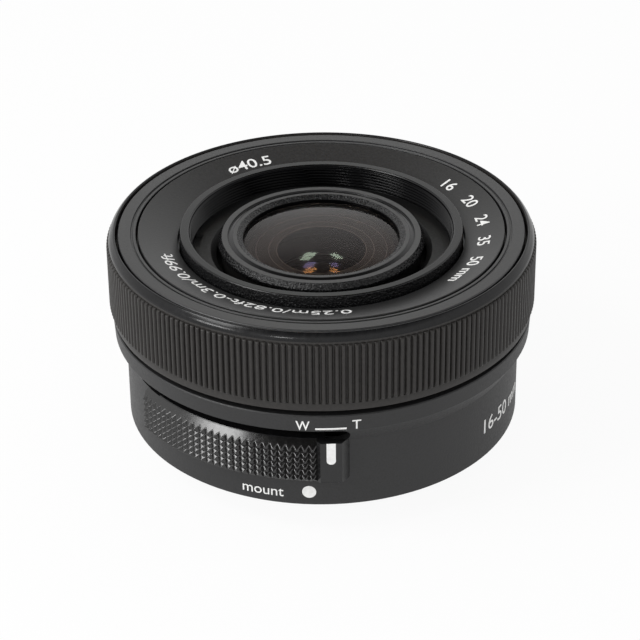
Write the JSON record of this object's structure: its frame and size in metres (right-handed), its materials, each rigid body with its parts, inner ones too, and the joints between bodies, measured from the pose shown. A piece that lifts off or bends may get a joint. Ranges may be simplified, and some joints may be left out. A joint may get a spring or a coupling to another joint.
{
  "type": "camera zoom lens",
  "caption": "Flat collapsible motor-zoom camera lens with a ribbed control ring, a knurled zoom lever, a telescoping front barrel with filter thread and a bayonet mount.",
  "frame": {"origin": "centre of the mount's seating face, where the lens meets the camera", "axes": "+Z along the optical axis towards the subject, -Y towards the side with the zoom lever"},
  "size_m": [0.066, 0.066, 0.0359],
  "materials": {
    "mount_metal": "plated brass, satin",
    "screw_steel": "blackened steel",
    "contact_plastic": "moulded, fine matt",
    "contact_gold": "gold plated, polished",
    "inner_black": "moulded, dead matt",
    "glass": "polished, coated",
    "housing_black": "moulded with a fine spark-eroded grain",
    "mark_white": "filled paint",
    "barrel_alloy": "turned, dull anodised",
    "face_alloy": "bead-blasted black anodised aluminium",
    "barrel_black": "moulded, fine matt",
    "board_green": "solder mask",
    "chip_black": "moulded",
    "motor_steel": "drawn and ground",
    "ring_black": "moulded, satin",
    "pinion_brass": "machined",
    "coil_copper": "wound enamelled wire",
    "magnet_nickel": "nickel plated",
    "blade_black": "coated film",
    "carriage_plastic": "moulded"
  },
  "bodies": {
    "housing": {"bayonet_mount": "mount_metal", "mount_screws": "screw_steel", "contact_block": "contact_plastic", "contact_pins": "contact_gold", "rear_baffle": "inner_black", "rear_element": "glass", "rear_housing": "housing_black", "mount_index_dot": "mark_white", "guide_tube": "barrel_alloy", "cam_retaining_ring": "barrel_alloy", "front_trim_ring": "face_alloy", "name_ring": "face_alloy", "circuit_board": "board_green", "board_chips": "chip_black", "zoom_motor": "motor_steel", "motor_bracket": "barrel_alloy", "ring_sensor": "inner_black", "lever_sensor": "inner_black"},
    "control_ring": {"control_ring": "ring_black", "encoder_strip": "motor_steel"},
    "zoom_lever": {"zoom_lever": "housing_black", "lever_slider": "inner_black"},
    "cam_barrel": {"cam_barrel": "barrel_alloy"},
    "drive_pinion": {"drive_pinion": "pinion_brass"},
    "middle_barrel": {"middle_barrel": "barrel_black", "middle_followers": "pinion_brass", "group_2_base": "inner_black", "guide_rods": "motor_steel", "focus_motor": "motor_steel", "iris_base": "inner_black", "iris_cover": "inner_black", "stabiliser_coils": "coil_copper"},
    "iris_ring": {"iris_ring": "barrel_alloy"},
    "iris_blade_1": {"iris_blade_1": "blade_black"},
    "iris_blade_2": {"iris_blade_2": "blade_black"},
    "iris_blade_3": {"iris_blade_3": "blade_black"},
    "iris_blade_4": {"iris_blade_4": "blade_black"},
    "iris_blade_5": {"iris_blade_5": "blade_black"},
    "iris_blade_6": {"iris_blade_6": "blade_black"},
    "iris_blade_7": {"iris_blade_7": "blade_black"},
    "stabiliser_guide": {"stabiliser_guide": "barrel_alloy"},
    "stabiliser_frame": {"stabiliser_frame": "carriage_plastic", "stabiliser_magnets": "magnet_nickel", "stabiliser_lens": "glass", "stabiliser_doublet": "glass"},
    "focus_screw": {"focus_screw": "motor_steel"},
    "focus_carriage": {"focus_carriage": "carriage_plastic", "focus_lens": "glass"},
    "front_barrel": {"front_barrel": "barrel_black", "front_followers": "pinion_brass", "barrel_floor_ring": "barrel_black", "front_cell": "inner_black", "lens_ring": "face_alloy", "front_element": "glass", "second_element": "glass", "third_element": "glass"}
  },
  "joints": [
    {"name": "control_ring_turn", "type": "hinge", "parent": "housing", "child": "control_ring", "pos_m": [0, 0, 0.0248], "axis": [0, 0, 1], "continuous": true},
    {"name": "zoom_lever_swing", "type": "hinge", "parent": "housing", "child": "zoom_lever", "pos_m": [0, 0, 0.0091], "axis": [0, 0, 1], "range_deg": [-4, 4], "stiffness_Nm_per_rad": 0.15},
    {"name": "cam_turn", "type": "hinge", "parent": "housing", "child": "cam_barrel", "pos_m": [0, 0, 0.0155], "axis": [0, 0, 1], "range_deg": [0, 110]},
    {"name": "middle_slide", "type": "slide", "parent": "housing", "child": "middle_barrel", "axis": [0, 0, 1], "range_m": [0, 0.01]},
    {"name": "front_slide", "type": "slide", "parent": "housing", "child": "front_barrel", "axis": [0, 0, 1], "range_m": [0, 0.02]},
    {"name": "pinion_turn", "type": "hinge", "parent": "housing", "child": "drive_pinion", "pos_m": [0.01732, -0.02064, 0.0044], "axis": [0, 0, 1], "range_deg": [-1585, 0]},
    {"name": "focus_slide", "type": "slide", "parent": "middle_barrel", "child": "focus_carriage", "axis": [0, 0, 1], "range_m": [0, 0.0015]},
    {"name": "focus_screw_turn", "type": "hinge", "parent": "middle_barrel", "child": "focus_screw", "pos_m": [0.00725, 0.01256, 0.005], "axis": [0, 0, 1], "range_deg": [0, 1351]},
    {"name": "stabiliser_x", "type": "slide", "parent": "middle_barrel", "child": "stabiliser_guide", "axis": [1, 0, 0], "range_m": [-0.00025, 0.00025], "stiffness_N_per_m": 150},
    {"name": "stabiliser_y", "type": "slide", "parent": "stabiliser_guide", "child": "stabiliser_frame", "axis": [0, 1, 0], "range_m": [-0.00025, 0.00025], "stiffness_N_per_m": 150},
    {"name": "iris_turn", "type": "hinge", "parent": "middle_barrel", "child": "iris_ring", "pos_m": [0, 0, 0.0155], "axis": [0, 0, 1], "range_deg": [0, 4.56]},
    {"name": "iris_blade_1_swing", "type": "hinge", "parent": "middle_barrel", "child": "iris_blade_1", "pos_m": [0, -0.0122, 0.015], "axis": [0, 0, 1], "range_deg": [-36.01, 0]},
    {"name": "iris_blade_2_swing", "type": "hinge", "parent": "middle_barrel", "child": "iris_blade_2", "pos_m": [0.00954, -0.00761, 0.015], "axis": [0, 0, 1], "range_deg": [-36.01, 0]},
    {"name": "iris_blade_3_swing", "type": "hinge", "parent": "middle_barrel", "child": "iris_blade_3", "pos_m": [0.01189, 0.00271, 0.015], "axis": [0, 0, 1], "range_deg": [-36.01, 0]},
    {"name": "iris_blade_4_swing", "type": "hinge", "parent": "middle_barrel", "child": "iris_blade_4", "pos_m": [0.00529, 0.01099, 0.015], "axis": [0, 0, 1], "range_deg": [-36.01, 0]},
    {"name": "iris_blade_5_swing", "type": "hinge", "parent": "middle_barrel", "child": "iris_blade_5", "pos_m": [-0.00529, 0.01099, 0.015], "axis": [0, 0, 1], "range_deg": [-36.01, 0]},
    {"name": "iris_blade_6_swing", "type": "hinge", "parent": "middle_barrel", "child": "iris_blade_6", "pos_m": [-0.01189, 0.00271, 0.015], "axis": [0, 0, 1], "range_deg": [-36.01, 0]},
    {"name": "iris_blade_7_swing", "type": "hinge", "parent": "middle_barrel", "child": "iris_blade_7", "pos_m": [-0.00954, -0.00761, 0.015], "axis": [0, 0, 1], "range_deg": [-36.01, 0]}
  ],
  "couplings": [
    {"joint": "middle_slide", "follows": "cam_turn", "m_per_rad": 0.0052087},
    {"joint": "front_slide", "follows": "cam_turn", "m_per_rad": 0.010417},
    {"joint": "pinion_turn", "follows": "cam_turn", "ratio": -14.4},
    {"joint": "focus_screw_turn", "follows": "focus_slide", "rad_per_m": 15708},
    {"joint": "iris_blade_1_swing", "follows": "iris_turn", "ratio": -7.8966},
    {"joint": "iris_blade_2_swing", "follows": "iris_turn", "ratio": -7.8966},
    {"joint": "iris_blade_3_swing", "follows": "iris_turn", "ratio": -7.8966},
    {"joint": "iris_blade_4_swing", "follows": "iris_turn", "ratio": -7.8966},
    {"joint": "iris_blade_5_swing", "follows": "iris_turn", "ratio": -7.8966},
    {"joint": "iris_blade_6_swing", "follows": "iris_turn", "ratio": -7.8966},
    {"joint": "iris_blade_7_swing", "follows": "iris_turn", "ratio": -7.8966}
  ]
}
